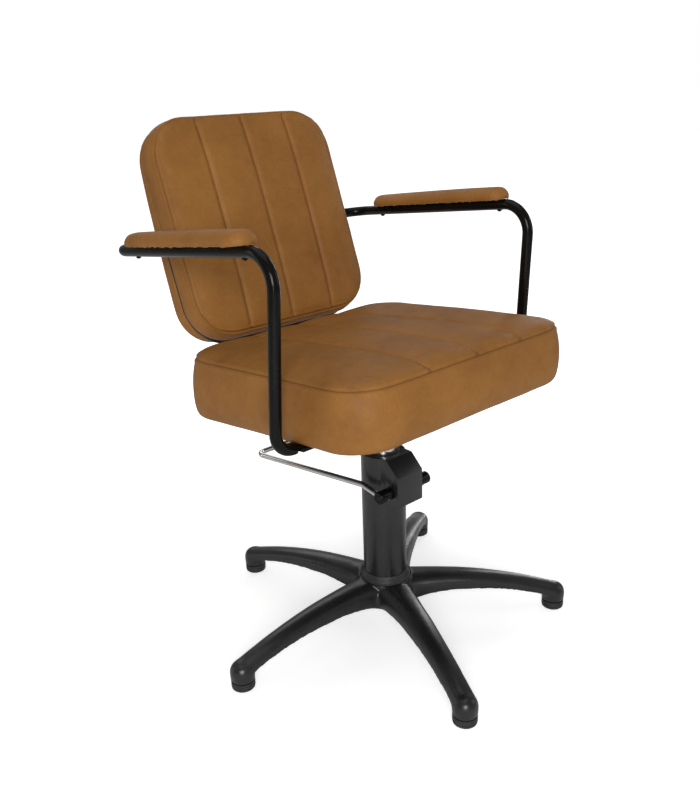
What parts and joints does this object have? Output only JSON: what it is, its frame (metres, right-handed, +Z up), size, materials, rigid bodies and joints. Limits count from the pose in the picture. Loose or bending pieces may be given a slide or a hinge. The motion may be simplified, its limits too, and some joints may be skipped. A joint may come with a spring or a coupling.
{
  "type": "hydraulic styling chair",
  "caption": "Salon styling chair: channelled leather seat and back, bent-tube arms, hydraulic lift column with foot lever, five-arm glide base.",
  "frame": {"origin": "on the floor under the middle of the whole chair's overall box at rest; the column and swivel axis stands at x = 0.016, y = -0.045", "axes": "+Z up along the column and swivel axis; the chair faces -Y; the sitter's right-hand side is -X"},
  "size_m": [0.6197, 0.6977, 0.8642],
  "materials": {
    "cast_base": "satin black powder coat",
    "black_steel": "semi-gloss black paint",
    "chrome": "polished",
    "bright_steel": "zinc plated",
    "bronze": "machined",
    "black_plastic": "matt moulded",
    "black_rubber": "matt",
    "tan_leather": "matt, fine grain",
    "foam": "open cell foam",
    "plywood": "unfinished",
    "black_cloth": "woven lining"
  },
  "bodies": {
    "base": {"base_star": "cast_base", "floor_glides": "black_plastic", "column_collar": "black_plastic", "column_tube": "cast_base", "base_plug": "bright_steel", "base_washer": "bright_steel", "base_bolt": "bright_steel", "foot_valve": "bright_steel", "check_balls": "bright_steel", "pressure_cylinder": "bright_steel", "pump_head": "cast_base", "pump_cover": "black_steel", "pump_cover_screws": "bright_steel", "ram_guide_bush": "bronze", "wiper_seal": "black_rubber", "shaft_bushes": "bronze", "plunger_spring": "bright_steel"},
    "pump_plunger": {"pump_plunger": "bright_steel"},
    "foot_lever": {"lever_shaft": "black_steel", "pump_cam": "bright_steel", "lever_bosses": "black_steel", "lever_set_screws": "bright_steel", "foot_bar": "chrome"},
    "piston": {"piston_head": "bright_steel", "piston_seal": "black_rubber", "thrust_washer": "bronze"},
    "seat": {"ram": "chrome", "seat_mount": "black_steel", "seat_plate_bolts": "bright_steel", "seat_tee_nuts": "bright_steel", "seat_board": "plywood", "seat_foam": "foam", "seat_cover": "tan_leather", "seat_dust_cloth": "black_cloth", "arm_frame": "black_steel", "left_arm_bracket": "black_steel", "right_arm_bracket": "black_steel", "arm_bracket_bolts": "bright_steel", "left_arm_board": "plywood", "right_arm_board": "plywood", "left_arm_pad": "tan_leather", "right_arm_pad": "tan_leather", "arm_pad_screws": "black_steel", "back_cover": "tan_leather", "back_foam": "foam", "back_board": "plywood", "back_spacer": "plywood", "back_bolts": "black_steel", "rear_cover": "tan_leather", "rear_panel": "black_plastic", "back_trim": "black_plastic", "rear_panel_clips": "bright_steel"}
  },
  "joints": [
    {"name": "seat_lift", "type": "slide", "parent": "base", "child": "piston", "axis": [0, 0, 1], "range_m": [0, 0.13]},
    {"name": "seat_swivel", "type": "hinge", "parent": "piston", "child": "seat", "pos_m": [0.016, -0.045, 0.4], "axis": [0, 0, 1], "continuous": true},
    {"name": "foot_pedal", "type": "hinge", "parent": "base", "child": "foot_lever", "pos_m": [0.016, -0.091, 0.271], "axis": [-1, 0, 0], "range_deg": [0, 26], "stiffness_Nm_per_rad": 4, "springref_deg": -34.38},
    {"name": "plunger_slide", "type": "slide", "parent": "base", "child": "pump_plunger", "axis": [0, 0, 1], "range_m": [0, 0.0036], "deforming": ["plunger_spring"]}
  ],
  "couplings": [
    {"joint": "plunger_slide", "follows": "foot_pedal", "m_per_rad": 0.0075}
  ]
}
